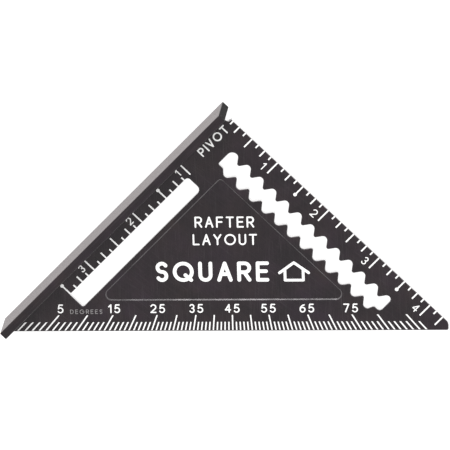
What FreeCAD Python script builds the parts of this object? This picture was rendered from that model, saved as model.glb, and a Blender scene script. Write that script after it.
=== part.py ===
import FreeCAD, Part
import math
import os
import Sketcher
from FreeCAD import Placement, Rotation, Vector

# Small rafter square, 115 mm along each leg: a right-angled aluminium blade standing in a T-shaped fence,
# with inch rulers, a degree scale and lettering engraved in both faces and filled with white paint.
#
# The square lies flat. X runs along the fence from the pivot, Y along the ruler leg away from the
# fence, and Z out of the front face. The origin is the pivot: the corner where the inner face of the
# fence meets the ruler edge, half way through the blade.

SHEET = "Sizes"

SIZES = {
    "inch_length": 25.4,
    # blade
    "leg_length": 115.0,
    "blade_thickness": 2.54,
    "tip_setback": 4.2,
    "tip_ruler_radius": 2.4,
    "tip_long_radius": 0.7,
    "rim_bevel": 0.2,
    "seat_depth": 0.05,
    "tongue_depth": 0.8,
    "tongue_start": 2.0,
    "pivot_notch_radius": 1.65,
    "pivot_notch_offset": 0.76,
    # fence
    "fence_thickness": 3.1,
    "fence_height": 18.8,
    "fence_edge_radius": 0.4,
    "fence_overhang": 0.8,
    # plain slot with the inner ruler along its near side
    "slot_start": 26.9,
    "slot_end": 89.3,
    "slot_near": 5.97,
    "slot_far": 12.7,
    "slot_start_near_radius": 1.2,
    "slot_start_far_radius": 1.9,
    "slot_end_far_radius": 0.8,
    # scribing slot with a row of rounded notches along each side
    "notch_pitch": 6.35,
    "notch_radius": 1.5,
    "tooth_radius": 0.8,
    "first_notch": 12.7,
    "outer_notch_depth": 8.13,
    "outer_tooth_tip": 10.9,
    "inner_tooth_tip": 14.6,
    "inner_notch_depth": 17.27,
    "inner_row_shift": 2.67,
    "near_ledge_depth": 15.4,
    "near_ledge_end": 12.5,
    "far_ledge_start": 87.9,
    "near_end_radius": 2.3,
    "far_end_radius": 1.4,
    "near_ledge_corner": 0.6,
    # shallow triangular recess in each face
    "recess_start": 18.67,
    "recess_near": 14.48,
    "recess_margin": 11.6,
    "recess_depth": 0.4,
    "recess_wall_angle": 45,
    "recess_square_corner_radius": 1.5,
    "recess_sharp_corner_radius": 2.3,
    # engraving
    "engraving_depth": 0.15,
    "tick_width": 0.55,
    "eighth_tick": 1.52,
    "quarter_tick": 2.85,
    "half_tick": 4.2,
    "inch_tick": 5.46,
    "stud_dot_radius": 0.66,
    "degree_tick_width": 0.48,
    "degree_tick_end_gap": 0.35,
    "degree_tick": 3.45,
    "five_degree_tick": 6.05,
    "degree_number_height": 3.35,
    "degree_number_stroke": 0.48,
    "degree_number_foot": 6.85,
    "degree_number_gap": 0.95,
    "edge_number_height": 3.15,
    "edge_number_stroke": 0.38,
    "edge_number_gap": 0.9,
    "edge_number_depth": 4.45,
    "edge_number_lead": 3.0,
    "slot_number_height": 2.95,
    "slot_number_stroke": 0.42,
    "slot_number_gap": 0.9,
    "slot_number_rise": 2.35,
    "slot_number_lag": 3.0,
    "pivot_label_height": 3.4,
    "pivot_label_stroke": 0.55,
    "pivot_label_gap": 0.75,
    "pivot_label_reach": 10.4,
    "pivot_label_rise": 3.15,
    "degrees_label_height": 1.65,
    "degrees_label_stroke": 0.2,
    "degrees_label_gap": 0.62,
    "degrees_label_drop": 1.1,
    "degrees_label_shift": 0.4,
    # titles in the front recess, placed from the middle of the long edge
    "small_title_height": 4.2,
    "small_title_stroke": 0.6,
    "small_title_gap": 1.0,
    "small_title_shift": -2.0,
    "small_title_first_line": 41.0,
    "small_title_second_line": 34.4,
    "large_title_height": 7.6,
    "large_title_stroke": 1.35,
    "large_title_gap": 1.7,
    "large_title_shift": -7.0,
    "large_title_line": 22.3,
    "roof_mark_stroke": 1.0,
    "roof_mark_shift": 17.5,
}

LAST_EDGE_EIGHTH = 34
FIRST_SLOT_EIGHTH = 8
LAST_SLOT_EIGHTH = 28
STUD_EIGHTHS = (12, 28)
LAST_DEGREE = 86
NUMBERED_DEGREES = range(5, 80, 10)

ROOT_HALF = math.sqrt(0.5)
TOWARDS_PIVOT = Vector(-ROOT_HALF, -ROOT_HALF, 0)
ALONG_EDGE = Vector(ROOT_HALF, -ROOT_HALF, 0)
TOWARDS_FENCE = Vector(0, -1, 0)
TOWARDS_RULER_EDGE = Vector(-1, 0, 0)

# Each character is drawn on a cap height of 1 as strokes along centre lines:
# a line holds two points, and an arc holds its centre, radius, start and end angle in degrees.
BOWL = [((0, 0), (0, 1)), ((0, 1), (0.33, 1)), ((0.33, 0.73), 0.27, -90, 90), ((0.33, 0.46), (0, 0.46))]
ARMS = [((0, 0), (0, 1)), ((0, 1), (0.55, 1)), ((0, 0.52), (0.48, 0.52))]
GLYPHS = {
    "1": [((0.3, 0), (0.3, 1)), ((0.3, 1), (0.04, 0.76))],
    "2": [((0.3, 0.7), 0.3, -40, 160), ((0.53, 0.507), (0, 0)), ((0, 0), (0.6, 0))],
    "3": [((0.29, 0.76), 0.24, -90, 155), ((0.29, 0.26), 0.26, -155, 90)],
    "4": [((0.46, 0), (0.46, 1)), ((0.46, 1), (0, 0.3)), ((0, 0.3), (0.62, 0.3))],
    "5": [((0.54, 1), (0.12, 1)), ((0.12, 1), (0.05, 0.517)), ((0.28, 0.31), 0.31, -150, 138)],
    "6": [((0.3, 0.3), 0.3, 0, 360), ((0.6, 0.33), 0.6, 98, 178)],
    "7": [((0, 1), (0.6, 1)), ((0.6, 1), (0.2, 0))],
    "A": [((0, 0), (0.34, 1)), ((0.34, 1), (0.68, 0)), ((0.12, 0.35), (0.56, 0.35))],
    "D": [((0, 0), (0, 1)), ((0, 1), (0.22, 1)), ((0.22, 0.5), 0.5, -90, 90), ((0.22, 0), (0, 0))],
    "E": ARMS + [((0, 0), (0.55, 0))],
    "F": ARMS,
    "G": [((0.5, 0.5), 0.5, 45, 360), ((1, 0.5), (0.6, 0.5))],
    "I": [((0, 0), (0, 1))],
    "L": [((0, 1), (0, 0)), ((0, 0), (0.52, 0))],
    "O": [((0.5, 0.5), 0.5, 0, 360)],
    "P": BOWL,
    "Q": [((0.5, 0.5), 0.5, 0, 360), ((0.62, 0.3), (0.95, 0))],
    "R": BOWL + [((0.3, 0.46), (0.6, 0))],
    "S": [((0.3, 0.75), 0.25, 30, 270), ((0.3, 0.25), 0.25, -150, 90)],
    "T": [((0, 1), (0.64, 1)), ((0.32, 0), (0.32, 1))],
    "U": [((0, 1), (0, 0.3)), ((0.3, 0.3), 0.3, 180, 360), ((0.6, 0.3), (0.6, 1))],
    "V": [((0, 1), (0.33, 0)), ((0.33, 0), (0.66, 1))],
    "Y": [((0, 1), (0.33, 0.5)), ((0.66, 1), (0.33, 0.5)), ((0.33, 0.5), (0.33, 0))],
}

# Distance in millimetres within which two places count as one.
TOUCHING = 0.001

# A gable roof on two posts, drawn on the same unit square as the characters.
ROOF_MARK = [
    ((0, 0.42), (0.8, 1)),
    ((0.8, 1), (1.6, 0.42)),
    ((0.3, 0), (0.3, 0.6)),
    ((1.3, 0), (1.3, 0.6)),
    ((0.3, 0), (1.3, 0)),
]


def make_sheet(doc):
    """Driving dimensions in millimetres, and one angle in degrees."""
    sheet = doc.addObject("Spreadsheet::Sheet", SHEET)
    for row, (alias, value) in enumerate(SIZES.items(), start=1):
        sheet.set(f"A{row}", alias)
        sheet.set(f"B{row}", str(value))
        sheet.setAlias(f"B{row}", alias)
    doc.recompute()
    return sheet


# ---- plane outlines ----------------------------------------------------------------------------


def origin_plane(body, role):
    return next(plane for plane in body.Origin.OriginFeatures if plane.Role == role)


def new_sketch(body, name, height=None):
    """A sketch on the body's XY plane, raised by an expression if one is given."""
    sketch = body.newObject("Sketcher::SketchObject", name)
    sketch.AttachmentSupport = [(origin_plane(body, "XY_Plane"), "")]
    sketch.MapMode = "FlatFace"
    if height:
        sketch.setExpression("AttachmentOffset.Base.z", height)
    return sketch


def draw_polygon(sketch, corners):
    """Closed polygon whose corners are pairs of sheet expressions, held by a constraint each."""
    places = [
        Vector(float(sketch.evalExpression(x)), float(sketch.evalExpression(y)), 0) for x, y in corners
    ]
    count = len(places)
    for index in range(count):
        sketch.addGeometry(Part.LineSegment(places[index], places[(index + 1) % count]))
    for index in range(count):
        sketch.addConstraint(Sketcher.Constraint("Coincident", index, 2, (index + 1) % count, 1))
    for index, (place, (x, y)) in enumerate(zip(places, corners)):
        for kind, value, expression in (("DistanceX", place.x, x), ("DistanceY", place.y, y)):
            number = sketch.addConstraint(Sketcher.Constraint(kind, -1, 1, index, 1, value))
            sketch.setExpression(f"Constraints[{number}]", expression)


def rounded_outline(corners):
    """Lines and arcs of a closed outline, from (place, corner radius) pairs in order."""
    runs = []
    count = len(corners)
    for index, (place, radius) in enumerate(corners):
        before = (corners[index - 1][0] - place).normalize()
        after = (corners[(index + 1) % count][0] - place).normalize()
        half_angle = before.getAngle(after) / 2
        setback = radius / math.tan(half_angle)
        middle = place + (before + after).normalize() * radius * (1 / math.sin(half_angle) - 1)
        runs.append((place + before * setback, middle, place + after * setback, radius))
    pieces = []
    for index, (start, middle, end, radius) in enumerate(runs):
        if radius > 0:
            pieces.append(Part.Arc(start, middle, end))
        pieces.append(Part.LineSegment(end, runs[(index + 1) % count][0]))
    return pieces


def tangent_points(first, first_radius, second, second_radius, side):
    """Ends of the line that crosses between two circles, leaving the first on the given side."""
    across = second - first
    turn = math.acos((first_radius + second_radius) / across.Length)
    angle = math.atan2(across.y, across.x) + side * turn
    out = Vector(math.cos(angle), math.sin(angle), 0)
    return first + out * first_radius, second - out * second_radius


def scalloped_edge(rounds):
    """Arcs joined by crossing tangents. Each round holds its centre, radius and outward direction."""
    joins = []
    for (first, first_radius, outward), (second, second_radius, _) in zip(rounds, rounds[1:]):
        pairs = [tangent_points(first, first_radius, second, second_radius, side) for side in (1, -1)]
        joins.append(max(pairs, key=lambda pair: (pair[0] - first).dot(outward)))
    pieces = []
    start = rounds[0][0] + rounds[0][2] * rounds[0][1]
    for index, (centre, radius, outward) in enumerate(rounds):
        last = index == len(rounds) - 1
        end = centre + outward * radius if last else joins[index][0]
        if index in (0, len(rounds) - 1):
            across = ((start - centre).normalize() + (end - centre).normalize()).normalize()
            middle = centre + across * radius
        else:
            middle = centre + outward * radius
        pieces.append(Part.Arc(start, middle, end))
        if not last:
            pieces.append(Part.LineSegment(end, joins[index][1]))
            start = joins[index][1]
    return pieces


def scribing_slot_outline(sheet):
    """Notches every quarter inch along both sides, the inner row half a step behind the outer."""
    to_edge = Vector(-1, 0, 0)
    to_middle = Vector(1, 0, 0)
    pitch, notch, tooth = sheet.notch_pitch, sheet.notch_radius, sheet.tooth_radius
    outer_count = round((sheet.leg_length - 2 * sheet.first_notch) / pitch) - 1
    last_notch = sheet.first_notch + (outer_count - 1) * pitch

    outer = []
    for index in range(outer_count):
        y = sheet.first_notch + index * pitch
        outer.append((Vector(sheet.outer_notch_depth + notch, y, 0), notch, to_edge))
        if index < outer_count - 1:
            outer.append((Vector(sheet.outer_tooth_tip - tooth, y + pitch / 2, 0), tooth, to_middle))

    inner = [(Vector(sheet.near_ledge_depth + tooth, sheet.near_ledge_end, 0), tooth, to_edge)]
    for index in range(outer_count - 1):
        y = sheet.first_notch + sheet.inner_row_shift + index * pitch
        inner.append((Vector(sheet.inner_notch_depth - notch, y, 0), notch, to_middle))
        if index < outer_count - 2:
            inner.append((Vector(sheet.inner_tooth_tip + tooth, y + pitch / 2, 0), tooth, to_edge))
    inner.append((Vector(sheet.inner_tooth_tip + tooth, sheet.far_ledge_start, 0), tooth, to_edge))

    near, far, corner = sheet.near_end_radius, sheet.far_end_radius, sheet.near_ledge_corner
    near_wall = sheet.first_notch - near
    far_wall = last_notch + far
    diagonal = ROOT_HALF

    near_top = Vector(sheet.outer_notch_depth, sheet.first_notch, 0)
    near_side = Vector(sheet.outer_notch_depth + near, near_wall, 0)
    near_low = Vector(sheet.near_ledge_depth - corner, near_wall, 0)
    near_ledge = Vector(sheet.near_ledge_depth, near_wall + corner, 0)
    ledge_end = Vector(sheet.near_ledge_depth, sheet.near_ledge_end, 0)
    far_top = Vector(sheet.outer_notch_depth, last_notch, 0)
    far_side = Vector(sheet.outer_notch_depth + far, far_wall, 0)
    far_low = Vector(sheet.inner_tooth_tip - far, far_wall, 0)
    far_ledge = Vector(sheet.inner_tooth_tip, last_notch, 0)
    ledge_start = Vector(sheet.inner_tooth_tip, sheet.far_ledge_start, 0)

    near_middle = near_side + Vector(-near * diagonal, near * (1 - diagonal), 0)
    near_low_middle = near_ledge + Vector(-corner * (1 - diagonal), -corner * diagonal, 0)
    far_middle = far_top + Vector(far * (1 - diagonal), far * diagonal, 0)
    far_low_middle = far_ledge + Vector(-far * (1 - diagonal), far * diagonal, 0)
    ends = [
        Part.Arc(near_top, near_middle, near_side),
        Part.LineSegment(near_side, near_low),
        Part.Arc(near_low, near_low_middle, near_ledge),
        Part.LineSegment(near_ledge, ledge_end),
        Part.LineSegment(ledge_start, far_ledge),
        Part.Arc(far_ledge, far_low_middle, far_low),
        Part.LineSegment(far_low, far_side),
        Part.Arc(far_side, far_middle, far_top),
    ]
    return scalloped_edge(outer) + scalloped_edge(inner) + ends


def ruler_slot_outline(sheet):
    return rounded_outline(
        [
            (Vector(sheet.slot_start, sheet.slot_near, 0), sheet.slot_start_near_radius),
            (Vector(sheet.slot_end, sheet.slot_near, 0), 0),
            (Vector(sheet.slot_end, sheet.slot_far, 0), sheet.slot_end_far_radius),
            (Vector(sheet.slot_start, sheet.slot_far, 0), sheet.slot_start_far_radius),
        ]
    )


def recess_outline(sheet):
    """Right triangle with one side parallel to each edge of the blade."""
    reach = sheet.leg_length - sheet.recess_margin * 2 * ROOT_HALF
    start, near = sheet.recess_start, sheet.recess_near
    square, sharp = sheet.recess_square_corner_radius, sheet.recess_sharp_corner_radius
    return rounded_outline(
        [
            (Vector(start, near, 0), square),
            (Vector(reach - near, near, 0), sharp),
            (Vector(start, reach - start, 0), sharp),
        ]
    )


# ---- blade and fence ---------------------------------------------------------------------------


def cut_pocket(body, sketch, name):
    pocket = body.newObject("PartDesign::Pocket", name)
    pocket.Profile = sketch
    return pocket


def cut_through(body, sketch, name):
    pocket = cut_pocket(body, sketch, name)
    pocket.Midplane = True
    pocket.setExpression("Length", f"{SHEET}.blade_thickness * 2")


def tongue_limits():
    """Where the blade's tongue starts and ends along the fence, and how deep it goes."""
    start = f"{SHEET}.tongue_start"
    return start, f"{SHEET}.leg_length - {start}", f"-{SHEET}.tongue_depth"


def round_corner(body, base, name, place, alias):
    """Round the upright edge of the plate that stands at a place."""
    corners = [
        f"Edge{number}"
        for number, edge in enumerate(base.Shape.Edges, start=1)
        if edge.CenterOfMass.distanceToPoint(place) < TOUCHING
    ]
    rounded = body.newObject("PartDesign::Fillet", name)
    rounded.Base = (base, corners)
    rounded.setExpression("Radius", f"{SHEET}.{alias}")
    body.Document.recompute()


def bevel_rims(body, sheet):
    """Bevel the rims of the plate and its openings, but not where the plate meets the fence."""
    base = body.Tip
    face = sheet.blade_thickness / 2
    rims = []
    for number, edge in enumerate(base.Shape.Edges, start=1):
        box = edge.BoundBox
        on_face = box.ZLength < TOUCHING and abs(abs(box.ZMin) - face) < TOUCHING
        if on_face and box.YMax > TOUCHING:
            rims.append(f"Edge{number}")
    bevel = body.newObject("PartDesign::Chamfer", "RimBevel")
    bevel.Base = (base, rims)
    bevel.setExpression("Size", f"{SHEET}.rim_bevel")


def make_blade_blank(doc, sheet):
    """The triangular plate with its tongue along the fence, before engraving."""
    body = doc.addObject("PartDesign::Body", "BladeBlank")
    outline = new_sketch(body, "BladeOutline")
    start, end, depth = tongue_limits()
    foot = f"-{SHEET}.seat_depth"
    draw_polygon(
        outline,
        [
            (start, foot),
            (start, depth),
            (end, depth),
            (end, foot),
            (f"{SHEET}.leg_length + {SHEET}.seat_depth", foot),
            (f"{SHEET}.tip_setback / 2", f"{SHEET}.leg_length - {SHEET}.tip_setback / 2"),
            ("0", f"{SHEET}.leg_length - {SHEET}.tip_setback"),
            ("0", foot),
        ],
    )
    plate = body.newObject("PartDesign::Pad", "Plate")
    plate.Profile = outline
    plate.Midplane = True
    plate.setExpression("Length", f"{SHEET}.blade_thickness")
    doc.recompute()
    setback, reach = sheet.tip_setback, sheet.leg_length
    round_corner(body, plate, "RulerTipCorner", Vector(0, reach - setback, 0), "tip_ruler_radius")
    long_tip = Vector(setback / 2, reach - setback / 2, 0)
    round_corner(body, body.Tip, "LongTipCorner", long_tip, "tip_long_radius")

    notch = new_sketch(body, "PivotNotchCircle")
    centre = Vector(0, sheet.pivot_notch_offset, 0)
    circle = notch.addGeometry(Part.Circle(centre, Vector(0, 0, 1), sheet.pivot_notch_radius))
    notch.addConstraint(Sketcher.Constraint("PointOnObject", circle, 3, -2))
    for kind, value, alias in (
        (("DistanceY", -1, 1, circle, 3), sheet.pivot_notch_offset, "pivot_notch_offset"),
        (("Radius", circle), sheet.pivot_notch_radius, "pivot_notch_radius"),
    ):
        number = notch.addConstraint(Sketcher.Constraint(*kind, value))
        notch.setExpression(f"Constraints[{number}]", f"{SHEET}.{alias}")
    cut_through(body, notch, "PivotNotch")

    for name, outline_pieces in (
        ("RulerSlot", ruler_slot_outline(sheet)),
        ("ScribingSlot", scribing_slot_outline(sheet)),
    ):
        sketch = new_sketch(body, f"{name}Outline")
        sketch.addGeometry(outline_pieces)
        cut_through(body, sketch, name)
    doc.recompute()
    bevel_rims(body, sheet)

    for name, sign in (("FrontRecess", ""), ("BackRecess", "-")):
        sketch = new_sketch(body, f"{name}Outline", f"{sign}{SHEET}.blade_thickness / 2")
        sketch.addGeometry(recess_outline(sheet))
        recess = cut_pocket(body, sketch, name)
        recess.Reversed = sign == "-"
        recess.setExpression("Length", f"{SHEET}.recess_depth")
        recess.setExpression("TaperAngle", f"-{SHEET}.recess_wall_angle")
    return body


def make_fence(doc):
    """Bar with a shallow seat along its inner face for the blade, and a groove in it for the tongue."""
    body = doc.addObject("PartDesign::Body", "Fence")
    body.Label = "fence"
    length = f"{SHEET}.leg_length + {SHEET}.fence_overhang"
    outline = new_sketch(body, "FenceOutline")
    draw_polygon(
        outline,
        [
            ("0", f"-{SHEET}.fence_thickness"),
            (length, f"-{SHEET}.fence_thickness"),
            (length, "0"),
            ("0", "0"),
        ],
    )
    bar = body.newObject("PartDesign::Pad", "Bar")
    bar.Profile = outline
    bar.Midplane = True
    bar.setExpression("Length", f"{SHEET}.fence_height")

    softened = body.newObject("PartDesign::Fillet", "SoftEdges")
    doc.recompute()
    softened.Base = (bar, [f"Edge{number}" for number in range(1, len(bar.Shape.Edges) + 1)])
    softened.setExpression("Radius", f"{SHEET}.fence_edge_radius")

    start, end, depth = tongue_limits()
    for name, near, far, floor in (
        ("BladeSeat", "0", length, f"-{SHEET}.seat_depth"),
        ("TongueGroove", start, end, depth),
    ):
        sketch = new_sketch(body, f"{name}Outline")
        draw_polygon(sketch, [(near, floor), (far, floor), (far, "0"), (near, "0")])
        pocket = cut_pocket(body, sketch, name)
        pocket.Midplane = True
        pocket.setExpression("Length", f"{SHEET}.blade_thickness")
    return body


# ---- engraved marks ----------------------------------------------------------------------------


def face_of(pieces):
    """Flat face bounded by lines and arcs given in any order."""
    edges = Part.sortEdges([piece.toShape() for piece in pieces])[0]
    return Part.Face(Part.Wire(edges))


def polygon_face(places):
    return Part.Face(Part.makePolygon(places + places[:1]))


def line_stroke(start, end, width):
    """Straight stroke with round ends."""
    along = (end - start).normalize() * (width / 2)
    side = Vector(-along.y, along.x, 0)
    return face_of(
        [
            Part.LineSegment(start + side, end + side),
            Part.Arc(end + side, end + along, end - side),
            Part.LineSegment(end - side, start - side),
            Part.Arc(start - side, start - along, start + side),
        ]
    )


def arc_stroke(centre, radius, start_angle, end_angle, width):
    """Curved stroke with round ends, or a ring if it goes all the way round."""
    inner, outer = radius - width / 2, radius + width / 2

    def place(distance, angle):
        turn = math.radians(angle)
        return centre + Vector(math.cos(turn), math.sin(turn), 0) * distance

    if end_angle - start_angle >= 360:
        rims = [Part.Wire(Part.makeCircle(rim, centre)) for rim in (outer, inner)]
        return Part.Face(rims[0]).cut(Part.Face(rims[1]))
    middle = (start_angle + end_angle) / 2
    cap = width / 2
    pieces = [
        Part.Arc(place(outer, start_angle), place(outer, middle), place(outer, end_angle)),
        Part.Arc(place(inner, start_angle), place(inner, middle), place(inner, end_angle)),
    ]
    for angle, way in ((start_angle, -90), (end_angle, 90)):
        tip = place(radius, angle) + (place(cap, angle + way) - centre)
        pieces.append(Part.Arc(place(inner, angle), tip, place(outer, angle)))
    return face_of(pieces)


def joined(solids):
    """One solid from solids that overlap."""
    return solids[0].fuse(solids[1:]).removeSplitter() if len(solids) > 1 else solids[0]


def drawn_solid(strokes, height, width, depth, shift=0.0):
    """Strokes drawn on a unit cap height, scaled to the height, moved right by shift and sunk."""
    scale = height - width
    faces = []
    for stroke in strokes:
        if len(stroke) == 2:
            ends = [Vector(x * scale + shift, y * scale - scale / 2, 0) for x, y in stroke]
            faces.append(line_stroke(*ends, width))
        else:
            (x, y), radius, start_angle, end_angle = stroke
            centre = Vector(x * scale + shift, y * scale - scale / 2, 0)
            faces.append(arc_stroke(centre, radius * scale, start_angle, end_angle, width))
    return joined([face.extrude(Vector(0, 0, -depth)) for face in faces])


def stroke_extent(strokes):
    """Width of a character's centre lines on a cap height of 1."""
    reach = [0.0]
    for stroke in strokes:
        if len(stroke) == 2:
            reach += [x for x, _ in stroke]
        else:
            (x, _), radius, start_angle, _ = stroke
            reach.append(x + radius * (1 if start_angle <= 0 else math.cos(math.radians(start_angle))))
    return max(reach)


def text_solids(text, height, width, gap, depth):
    """One solid for each character of a line of text centred on the origin, a gap apart."""
    scale = height - width
    extents = [stroke_extent(GLYPHS[letter]) * scale for letter in text]
    step = width + gap
    shift = -(sum(extents) + step * (len(text) - 1)) / 2
    solids = []
    for letter, extent in zip(text, extents):
        solids.append(drawn_solid(GLYPHS[letter], height, width, depth, shift))
        shift += extent + step
    return solids


class Marker:
    """Turns flat outlines into the paint that fills the engraving on one face of the blade."""

    def __init__(self, sheet, blank, side):
        self.sheet = sheet
        self.blank = blank
        self.side = side
        self.depth = sheet.engraving_depth
        self.surface = side * sheet.blade_thickness / 2
        self.recess_floor = self.surface - side * sheet.recess_depth

    def fill(self, *flat_faces):
        """One solid from the blade's surface down to the bottom of the engraving."""
        solid = joined([face.extrude(Vector(0, 0, -self.side * self.depth)) for face in flat_faces])
        solid.translate(Vector(0, 0, self.surface))
        return solid

    def place(self, solids, centre, up, height):
        """Turn drawn solids to read upright along the given direction, seen from their own side."""
        outward = Vector(0, 0, self.side)
        turn = Rotation(up.cross(outward), up, outward, "ZXY")
        place = Placement(Vector(centre.x, centre.y, height), turn)
        return [solid.transformed(place.toMatrix()) for solid in solids]

    def write(self, text, kind, centre, up, surface=None):
        """A line of text in one of the sheet's kinds of lettering: its height, stroke and gap."""
        height, stroke = getattr(self.sheet, f"{kind}_height"), getattr(self.sheet, f"{kind}_stroke")
        gap = getattr(self.sheet, f"{kind}_gap")
        solids = text_solids(text, height, stroke, gap, self.depth)
        return self.place(solids, centre, up, self.surface if surface is None else surface)

    def tick(self, x, y, along, length):
        """Straight tick that starts square at a place and runs along a direction."""
        half = Vector(-along.y, along.x, 0) * (self.sheet.tick_width / 2)
        start = Vector(x, y, 0)
        end = start + along * length
        return polygon_face([start + half, end + half, end - half, start - half])

    def stud_tick(self, x, y, along):
        """Tick that ends in a round dot and marks where a stud's centre falls."""
        length = self.sheet.half_tick
        dot = Part.makeCircle(self.sheet.stud_dot_radius, Vector(x, y, 0) + along * length)
        return self.fill(self.tick(x, y, along, length), Part.Face(Part.Wire(dot)))

    def ruler_tick(self, x, y, along, eighth):
        """Tick of a ruler, longer for the coarser divisions of the inch, cut off by the bevelled rim."""
        if eighth in STUD_EIGHTHS:
            return self.stud_tick(x, y, along).common(self.blank)
        lengths = (
            (8, self.sheet.inch_tick),
            (4, self.sheet.half_tick),
            (2, self.sheet.quarter_tick),
            (1, self.sheet.eighth_tick),
        )
        length = next(length for step, length in lengths if eighth % step == 0)
        if eighth == LAST_EDGE_EIGHTH:
            length = self.sheet.half_tick
        return self.fill(self.tick(x, y, along, length)).common(self.blank)

    def edge_ruler_ticks(self):
        step = self.sheet.inch_length / 8
        inward = Vector(1, 0, 0)
        return [self.ruler_tick(0, n * step, inward, n) for n in range(1, LAST_EDGE_EIGHTH + 1)]

    def slot_ruler_ticks(self):
        step = self.sheet.inch_length / 8
        near = self.sheet.slot_near
        eighths = range(FIRST_SLOT_EIGHTH, LAST_SLOT_EIGHTH + 1)
        return [self.ruler_tick(n * step, near, TOWARDS_FENCE, n) for n in eighths]

    def numbers(self, kind, texts_and_centres, up):
        solids = []
        for text, centre in texts_and_centres:
            solids += self.write(text, kind, centre, up)
        return solids

    def edge_ruler_numbers(self):
        sheet = self.sheet
        places = []
        for inches in (1, 2, 3, 4):
            y = inches * sheet.inch_length - sheet.edge_number_lead
            places.append((str(inches), Vector(sheet.edge_number_depth, y, 0)))
        return self.numbers("edge_number", places, TOWARDS_RULER_EDGE)

    def slot_ruler_numbers(self):
        sheet = self.sheet
        places = []
        for inches in (1, 2, 3):
            x = inches * sheet.inch_length + sheet.slot_number_lag
            places.append((str(inches), Vector(x, sheet.slot_number_rise, 0)))
        return self.numbers("slot_number", places, TOWARDS_FENCE)

    def on_ray(self, degrees, distance, offset=0.0):
        """Place on a ray from the pivot, at a distance in from the long edge.

        The angle is measured from the fence, and the offset moves the ray sideways.
        """
        angle = math.radians(degrees)
        ray = Vector(math.cos(angle), math.sin(angle), 0)
        across = Vector(-ray.y, ray.x, 0)
        reach = self.sheet.leg_length - distance / ROOT_HALF
        return ray * ((reach - offset * (across.x + across.y)) / (ray.x + ray.y)) + across * offset

    def degree_tick(self, degrees, length):
        """Tick along a ray, with both ends parallel to the long edge."""
        half = self.sheet.degree_tick_width / 2
        gap = self.sheet.degree_tick_end_gap
        corners = [
            self.on_ray(degrees, gap, half),
            self.on_ray(degrees, length, half),
            self.on_ray(degrees, length, -half),
            self.on_ray(degrees, gap, -half),
        ]
        return self.fill(polygon_face(corners))

    def degree_ticks(self):
        plain = [degrees for degrees in range(1, LAST_DEGREE + 1) if degrees % 5]
        return [self.degree_tick(degrees, self.sheet.degree_tick) for degrees in plain]

    def five_degree_ticks(self):
        return [self.degree_tick(degrees, self.sheet.five_degree_tick) for degrees in range(5, 90, 5)]

    def degree_number_centre(self, degrees):
        """Each number stands upright with the middle of its foot on its own ray."""
        foot = self.on_ray(degrees, self.sheet.degree_number_foot)
        return foot + TOWARDS_PIVOT * (self.sheet.degree_number_height / 2)

    def degree_numbers(self):
        places = [(str(degrees), self.degree_number_centre(degrees)) for degrees in NUMBERED_DEGREES]
        return self.numbers("degree_number", places, TOWARDS_PIVOT)

    def pivot_label(self):
        sheet = self.sheet
        centre = Vector(sheet.pivot_label_reach, sheet.pivot_label_rise, 0)
        return self.write("PIVOT", "pivot_label", centre, TOWARDS_FENCE)

    def degrees_label(self):
        """Small word between the first two numbers of the degree scale."""
        sheet = self.sheet
        middle = (self.degree_number_centre(5) + self.degree_number_centre(15)) / 2
        centre = middle - TOWARDS_PIVOT * sheet.degrees_label_drop + ALONG_EDGE * sheet.degrees_label_shift
        return self.write("DEGREES", "degrees_label", centre, TOWARDS_PIVOT)

    def in_recess(self, rise, sideways):
        """Place in the recess, measured from the middle of the long edge."""
        middle = Vector(self.sheet.leg_length / 2, self.sheet.leg_length / 2, 0)
        along = TOWARDS_PIVOT.cross(Vector(0, 0, self.side))
        return middle + TOWARDS_PIVOT * rise + along * sideways

    def small_title(self):
        sheet = self.sheet
        solids = []
        for word, rise in (
            ("RAFTER", sheet.small_title_first_line),
            ("LAYOUT", sheet.small_title_second_line),
        ):
            centre = self.in_recess(rise, sheet.small_title_shift)
            solids += self.write(word, "small_title", centre, TOWARDS_PIVOT, self.recess_floor)
        return solids

    def large_title(self):
        centre = self.in_recess(self.sheet.large_title_line, self.sheet.large_title_shift)
        return self.write("SQUARE", "large_title", centre, TOWARDS_PIVOT, self.recess_floor)

    def roof_mark(self):
        sheet = self.sheet
        solid = drawn_solid(ROOF_MARK, sheet.large_title_height, sheet.roof_mark_stroke, self.depth)
        centre = self.in_recess(sheet.large_title_line, sheet.roof_mark_shift)
        return self.place([solid], centre, TOWARDS_PIVOT, self.recess_floor)


SCALE_MARKS = (
    "edge_ruler_ticks",
    "edge_ruler_numbers",
    "slot_ruler_ticks",
    "slot_ruler_numbers",
    "degree_ticks",
    "five_degree_ticks",
    "degree_numbers",
    "pivot_label",
    "degrees_label",
)
TITLE_MARKS = ("small_title", "large_title", "roof_mark")


def make_marks(doc, sheet, blank):
    """Paint fills of both faces. The titles are on the front face alone."""
    marks = []
    for face_name, side, kinds in (("front", 1, SCALE_MARKS + TITLE_MARKS), ("back", -1, SCALE_MARKS)):
        marker = Marker(sheet, blank.Shape, side)
        for kind in kinds:
            mark = doc.addObject("Part::Feature", f"{face_name}_{kind}")
            mark.Shape = Part.makeCompound(getattr(marker, kind)())
            mark.Placement = Placement(Vector(0, 0, 0), Rotation())
            marks.append(mark)
    return marks


def make_blade(doc, blank, marks):
    """The blank with every engraving cut out of it."""
    engraving = doc.addObject("Part::Compound", "Engraving")
    engraving.Links = marks
    blade = doc.addObject("Part::Cut", "Blade")
    blade.Label = "blade"
    blade.Base = blank
    blade.Tool = engraving
    return blade


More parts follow.
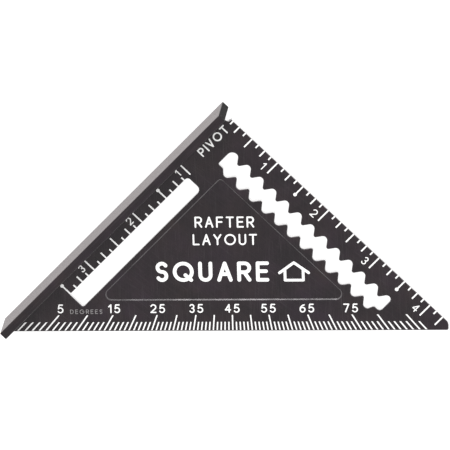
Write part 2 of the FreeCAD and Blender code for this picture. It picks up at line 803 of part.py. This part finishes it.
def check(doc, nodes):
    """Stop if any object failed to build or any sub-part isn't made of sound solids."""
    failed = [item.Name for item in doc.Objects if {"Invalid", "Error"} & set(item.State)]
    if failed:
        raise RuntimeError(f"not built: {failed}")
    for node in nodes:
        shape = node.Shape
        if shape.isNull() or not shape.isValid() or not shape.Solids:
            raise RuntimeError(f"{node.Label} has no sound solid")
        print(f"{node.Label}: {len(shape.Solids)} solids, {shape.Volume:.2f} mm3")


def main():
    doc = FreeCAD.newDocument("RafterSquare")
    sheet = make_sheet(doc)
    blank = make_blade_blank(doc, sheet)
    fence = make_fence(doc)
    doc.recompute()
    marks = make_marks(doc, sheet, blank)
    blade = make_blade(doc, blank, marks)
    doc.recompute()
    nodes = [blade, fence] + marks
    check(doc, nodes)
    os.makedirs("parts", exist_ok=True)
    for node in nodes:
        node.Shape.exportStep(f"parts/{node.Label}.step")


main()
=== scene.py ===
import math
import bpy
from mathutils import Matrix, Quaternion, Vector


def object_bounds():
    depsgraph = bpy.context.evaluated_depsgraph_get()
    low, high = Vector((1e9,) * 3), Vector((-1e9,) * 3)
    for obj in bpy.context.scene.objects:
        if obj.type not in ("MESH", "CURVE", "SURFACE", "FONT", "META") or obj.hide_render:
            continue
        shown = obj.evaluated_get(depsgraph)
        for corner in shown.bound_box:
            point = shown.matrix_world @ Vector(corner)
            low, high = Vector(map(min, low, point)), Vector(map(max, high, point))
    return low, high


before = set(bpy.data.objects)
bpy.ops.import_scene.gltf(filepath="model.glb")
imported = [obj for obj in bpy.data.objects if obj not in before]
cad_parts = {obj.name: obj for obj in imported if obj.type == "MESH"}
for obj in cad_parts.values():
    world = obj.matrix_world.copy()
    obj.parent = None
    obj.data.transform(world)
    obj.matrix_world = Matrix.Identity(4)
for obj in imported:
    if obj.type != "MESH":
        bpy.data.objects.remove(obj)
cad_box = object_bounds()

# ---- camera ------------------------------------------------------------------------------------
# The square is seen from above its front face, with the long edge level at the bottom of the view.
VIEW_AZIMUTH = -61.585
VIEW_ELEVATION = 72.675
VIEW_ROLL = -164.349
VIEW_DISTANCE = 5.424
AIM = Vector((0.03077, 0.02815, 0.0))
LENS = 1200.0
SENSOR = 36.0


def make_camera():
    azimuth, elevation = math.radians(VIEW_AZIMUTH), math.radians(VIEW_ELEVATION)
    back = Vector(
        (
            math.sin(azimuth) * math.cos(elevation),
            -math.cos(azimuth) * math.cos(elevation),
            math.sin(elevation),
        )
    )
    camera = bpy.data.objects.new("camera", bpy.data.cameras.new("camera"))
    bpy.context.scene.collection.objects.link(camera)
    camera.location = AIM + back * VIEW_DISTANCE
    camera.rotation_mode = "QUATERNION"
    roll = Quaternion((0, 0, 1), math.radians(VIEW_ROLL))
    camera.rotation_quaternion = (-back).to_track_quat("-Z", "Y") @ roll
    camera.data.lens = LENS
    camera.data.sensor_width = SENSOR
    camera.data.clip_start = 0.1
    camera.data.clip_end = 50.0
    bpy.context.scene.camera = camera


# ---- materials ---------------------------------------------------------------------------------


class Finish:
    """A procedural material. Every texture size is in metres, on the object's own coordinates."""

    def __init__(self, name, **constants):
        self.material = bpy.data.materials.new(name)
        self.material.use_nodes = True
        self.nodes = self.material.node_tree.nodes
        self.links = self.material.node_tree.links
        self.shader = self.nodes["Principled BSDF"]
        for socket, value in constants.items():
            self.shader.inputs[socket.replace("_", " ")].default_value = value
        self.place = self.nodes.new("ShaderNodeTexCoord").outputs["Object"]

    def put(self, socket, value):
        """Link an output to a socket, or set the socket to a constant."""
        if isinstance(value, bpy.types.NodeSocket):
            self.links.new(value, socket)
        else:
            socket.default_value = value

    def noise(self, size, detail=2.0, roughness=0.5, angle=0.0, offset=0.0):
        """Noise from 0 to 1. Size is one length, or the lengths along three turned axes."""
        sizes = size if isinstance(size, tuple) else (size, size, size)
        mapping = self.nodes.new("ShaderNodeMapping")
        mapping.vector_type = "TEXTURE"
        mapping.inputs["Location"].default_value = (offset, offset, offset)
        mapping.inputs["Rotation"].default_value = (0, 0, math.radians(angle))
        mapping.inputs["Scale"].default_value = sizes
        self.links.new(self.place, mapping.inputs["Vector"])
        texture = self.nodes.new("ShaderNodeTexNoise")
        texture.inputs["Scale"].default_value = 1.0
        texture.inputs["Detail"].default_value = detail
        texture.inputs["Roughness"].default_value = roughness
        self.links.new(mapping.outputs["Vector"], texture.inputs["Vector"])
        return texture.outputs["Fac"]

    def span(self, value, low, high, to_low=0.0, to_high=1.0):
        """Value from low to high, spread over to_low to to_high and kept between them."""
        node = self.nodes.new("ShaderNodeMapRange")
        self.links.new(value, node.inputs["Value"])
        for socket, number in (
            ("From Min", low),
            ("From Max", high),
            ("To Min", to_low),
            ("To Max", to_high),
        ):
            node.inputs[socket].default_value = number
        return node.outputs["Result"]

    def combine(self, operation, first, second):
        node = self.nodes.new("ShaderNodeMath")
        node.operation = operation
        self.put(node.inputs[0], first)
        self.put(node.inputs[1], second)
        return node.outputs["Value"]

    def blend(self, factor, first, second):
        """Colour that goes from the first to the second as the factor goes from 0 to 1."""
        node = self.nodes.new("ShaderNodeMix")
        node.data_type = "RGBA"
        self.put(node.inputs["Factor"], factor)
        colours = [socket for socket in node.inputs if socket.type == "RGBA"]
        self.put(colours[0], first)
        self.put(colours[1], second)
        return next(socket for socket in node.outputs if socket.type == "RGBA")

    def facing(self, axis, sign=0, low=0.75, high=0.9):
        """1 on faces square to an axis and 0 on the others. The sign picks one side of the two."""
        geometry = self.nodes.new("ShaderNodeNewGeometry")
        parts = self.nodes.new("ShaderNodeSeparateXYZ")
        self.links.new(geometry.outputs["True Normal"], parts.inputs["Vector"])
        along = parts.outputs[axis]
        if sign:
            along = self.combine("MULTIPLY", along, sign)
        else:
            along = self.combine("ABSOLUTE", along, 0.0)
        return self.span(along, low, high)

    def bump(self, height, depth):
        node = self.nodes.new("ShaderNodeBump")
        node.inputs["Strength"].default_value = 1.0
        node.inputs["Distance"].default_value = depth
        self.links.new(height, node.inputs["Height"])
        self.links.new(node.outputs["Normal"], self.shader.inputs["Normal"])

    def drive(self, socket, value):
        self.links.new(value, self.shader.inputs[socket])

    def hide_back(self):
        """Make the back of each face clear."""
        geometry = self.nodes.new("ShaderNodeNewGeometry")
        clear = self.nodes.new("ShaderNodeBsdfTransparent")
        choice = self.nodes.new("ShaderNodeMixShader")
        self.links.new(geometry.outputs["Backfacing"], choice.inputs["Fac"])
        self.links.new(self.shader.outputs["BSDF"], choice.inputs[1])
        self.links.new(clear.outputs["BSDF"], choice.inputs[2])
        self.links.new(choice.outputs["Shader"], self.nodes["Material Output"].inputs["Surface"])


INK = (0.0050, 0.0015, 0.0036, 1)
BROWN_CAST = (0.0140, 0.0068, 0.0070, 1)
PURPLE_CAST = (0.0155, 0.0068, 0.0150, 1)
RUBBED = (0.075, 0.068, 0.069, 1)
# Colour of the fence's outer face: brushed wear, lightened further as a painted grazing
# reflection.
WORN_FACE_AND_SHEEN = (0.105, 0.074, 0.076, 1)
WORN_RIM = (0.42, 0.40, 0.41, 1)
SAWN_END = (0.0050, 0.0042, 0.0042, 1)
MILLED = (0.88, 0.87, 0.87, 1)
MILLED_DARK = (0.70, 0.69, 0.69, 1)
WHITE_PAINT = (0.90, 0.90, 0.89, 1)
WHITE_PAINT_DARK = (0.84, 0.84, 0.83, 1)
GREY_PAINT = (0.32, 0.31, 0.31, 1)
GREY_PAINT_DARK = (0.20, 0.19, 0.19, 1)

DYED_IOR = 1.43
PAINT_IOR = 1.45
RUBBED_SHARE = 0.5
RUBBED_SHINE = 0.06
MILLED_ROUGHNESS = 0.33
SAWN_ROUGHNESS = 1.0
# Bump heights in metres. The sawn ends are so many times deeper than the rest of the metal.
METAL_BUMP = 0.000012
PAINT_BUMP = 0.00001
SAWN_DEPTH = 14.0

# Rubbed streaks: the angle in degrees, the length and width in metres and the texture's offset.
BLADE_STREAKS = (
    (48.0, 0.030, 0.00022, 0.0),
    (41.0, 0.018, 0.00016, 0.17),
    (95.0, 0.012, 0.00014, 0.43),
)
FENCE_STREAKS = (
    (0.0, 0.040, 0.00025, 0.0),
    (0.0, 0.022, 0.00015, 0.27),
)


class Anodised(Finish):
    """Black dyed aluminium: a faint cloudy cast, a fine grain and thin rubbed streaks."""

    def __init__(self, name, streaks):
        super().__init__(name, IOR=DYED_IOR)
        clouds = self.span(self.noise(0.022, 3.0, 0.55), 0.35, 0.65)
        patches = self.span(self.noise(0.009, 4.0, 0.6, offset=0.31), 0.35, 0.7)
        self.grain = self.noise(0.00035, 3.0, 0.6)
        self.rubbed = None
        for angle, length, width, offset in streaks:
            line = self.noise((length, width, width), 3.0, 0.6, angle, offset)
            line = self.span(line, 0.6, 0.78)
            if self.rubbed is not None:
                line = self.combine("MAXIMUM", self.rubbed, line)
            self.rubbed = line
        cast = self.blend(clouds, BROWN_CAST, PURPLE_CAST)
        body = self.blend(patches, INK, cast)
        self.body = self.blend(self.combine("MULTIPLY", self.rubbed, RUBBED_SHARE), body, RUBBED)
        rough = self.span(self.grain, 0.3, 0.7, 0.26, 0.42)
        shine = self.combine("MULTIPLY", self.rubbed, RUBBED_SHINE)
        self.rough = self.combine("SUBTRACT", rough, shine)
        self.height = self.combine("SUBTRACT", self.grain, self.rubbed)

    def mix(self, factor, first, second):
        """Number that goes from the first to the second as the factor goes from 0 to 1."""
        node = self.nodes.new("ShaderNodeMix")
        self.put(node.inputs[0], factor)
        self.put(node.inputs[2], first)
        self.put(node.inputs[3], second)
        return node.outputs[0]


def blade_finish():
    """Dyed faces, bare milled metal on cut edges and in slots, and half-bare sloping rims."""
    finish = Anodised("blade_anodised", BLADE_STREAKS)
    steep = finish.combine("SUBTRACT", 1.0, finish.facing("Z", low=0.2, high=0.4))
    lines = finish.noise((0.02, 0.02, 0.00012), 3.0, 0.6)
    milled = finish.blend(finish.span(lines, 0.4, 0.7), MILLED, MILLED_DARK)
    rubbed_off = finish.span(finish.noise(0.005, 4.0, 0.6, offset=0.52), 0.3, 0.65, 0.08, 0.38)
    bare = finish.combine("MULTIPLY", finish.facing("Z", low=0.3, high=0.5), rubbed_off)
    sloping = finish.combine("SUBTRACT", 1.0, finish.facing("Z", low=0.8, high=0.95))
    bare = finish.combine("MULTIPLY", bare, sloping)
    dyed = finish.blend(bare, finish.body, WORN_RIM)
    finish.drive("Base Color", finish.blend(steep, dyed, milled))
    finish.drive("Metallic", finish.combine("MAXIMUM", steep, bare))
    finish.drive("Roughness", finish.mix(steep, finish.rough, MILLED_ROUGHNESS))
    finish.bump(finish.mix(steep, finish.height, lines), METAL_BUMP)
    return finish.material


def fence_finish():
    """Dyed bar with rough sawn ends and a lighter outer face: brushed wear plus a painted grazing
    reflection.
    """
    finish = Anodised("fence_anodised", FENCE_STREAKS)
    outer = finish.facing("Y", -1)
    end = finish.facing("X")
    brushed = finish.noise((0.06, 0.0005, 0.00035), 3.0, 0.6, offset=0.09)
    # The outer face is painted lighter: partly brushed wear, partly painted sheen that stands in
    # for its grazing reflection.
    wear_and_sheen = finish.combine("MULTIPLY", outer, finish.span(brushed, 0.3, 0.7, 0.3, 1.0))
    colour = finish.blend(wear_and_sheen, finish.body, WORN_FACE_AND_SHEEN)
    finish.drive("Base Color", finish.blend(end, colour, SAWN_END))
    finish.drive("Roughness", finish.mix(end, finish.rough, SAWN_ROUGHNESS))
    sawn = finish.noise((0.0005, 0.0016, 0.00022), 4.0, 0.65)
    deep = finish.mix(end, finish.height, finish.combine("MULTIPLY", sawn, SAWN_DEPTH))
    finish.bump(deep, METAL_BUMP)
    return finish.material


def paint(name, light, dark):
    """Paint wiped into the engraving: slightly uneven, with a matt and finely pitted surface."""
    finish = Finish(name, IOR=PAINT_IOR)
    uneven = finish.span(finish.noise(0.0011, 4.0, 0.6), 0.35, 0.7)
    pits = finish.noise(0.00018, 2.0, 0.6)
    finish.drive("Base Color", finish.blend(uneven, light, dark))
    finish.drive("Roughness", finish.span(pits, 0.3, 0.7, 0.5, 0.75))
    finish.bump(pits, PAINT_BUMP)
    return finish.material


def dress(material, names):
    """Give CAD nodes a material through their material slots."""
    for name in names:
        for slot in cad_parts[name].material_slots:
            slot.material = material


def dress_all():
    marks = [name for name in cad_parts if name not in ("blade", "fence")]
    grey = [name for name in marks if name.endswith("degrees_label")]
    white = [name for name in marks if name not in grey]
    dress(blade_finish(), ["blade"])
    dress(fence_finish(), ["fence"])
    dress(paint("white_fill", WHITE_PAINT, WHITE_PAINT_DARK), white)
    dress(paint("grey_fill", GREY_PAINT, GREY_PAINT_DARK), grey)


# ---- floor and light ---------------------------------------------------------------------------


FLOOR_HALF = 0.6
FLOOR_GAP = 0.00005
FLOOR_COLOUR = (0.2, 0.2, 0.2, 1)
FLOOR_GLOW = 1.0
WORLD_STRENGTH = 0.95

# Name, direction from the square, distance and width in metres, and watts.
LIGHTS = (
    ("key", (-0.45, -0.50, 0.75), 1.6, 0.9, 9.0),
    ("rim", (-0.60, -0.75, 0.28), 1.6, 0.4, 6.0),
    ("fill", (0.60, 0.60, 0.50), 1.6, 0.7, 8.0),
    ("under", (0.25, -0.45, -0.85), 1.6, 0.9, 9.0),
)


def make_floor():
    """Pale sheet just under the square, clear from below so that the underside shows."""
    half = FLOOR_HALF
    low = cad_box[0].z - FLOOR_GAP
    mesh = bpy.data.meshes.new("floor")
    corners = [(-half, -half, low), (half, -half, low), (half, half, low), (-half, half, low)]
    mesh.from_pydata(corners, [], [(0, 1, 2, 3)])
    floor = bpy.data.objects.new("floor", mesh)
    bpy.context.scene.collection.objects.link(floor)
    finish = Finish("floor", Roughness=0.9, Emission_Strength=FLOOR_GLOW)
    finish.shader.inputs["Base Color"].default_value = FLOOR_COLOUR
    finish.shader.inputs["Emission Color"].default_value = (1, 1, 1, 1)
    finish.hide_back()
    mesh.materials.append(finish.material)


def make_light(name, direction, distance, size, watts):
    """Square soft light that faces the middle of the square."""
    data = bpy.data.lights.new(name, "AREA")
    data.size = size
    data.energy = watts
    light = bpy.data.objects.new(name, data)
    bpy.context.scene.collection.objects.link(light)
    away = Vector(direction).normalized()
    light.location = AIM + away * distance
    light.rotation_mode = "QUATERNION"
    light.rotation_quaternion = away.to_track_quat("Z", "Y")


def make_world():
    world = bpy.data.worlds.new("studio")
    bpy.context.scene.world = world
    world.use_nodes = True
    background = world.node_tree.nodes["Background"]
    background.inputs["Color"].default_value = (1, 1, 1, 1)
    background.inputs["Strength"].default_value = WORLD_STRENGTH
    bpy.context.scene.view_settings.view_transform = "Standard"


make_camera()
dress_all()
make_floor()
make_world()
for light in LIGHTS:
    make_light(*light)
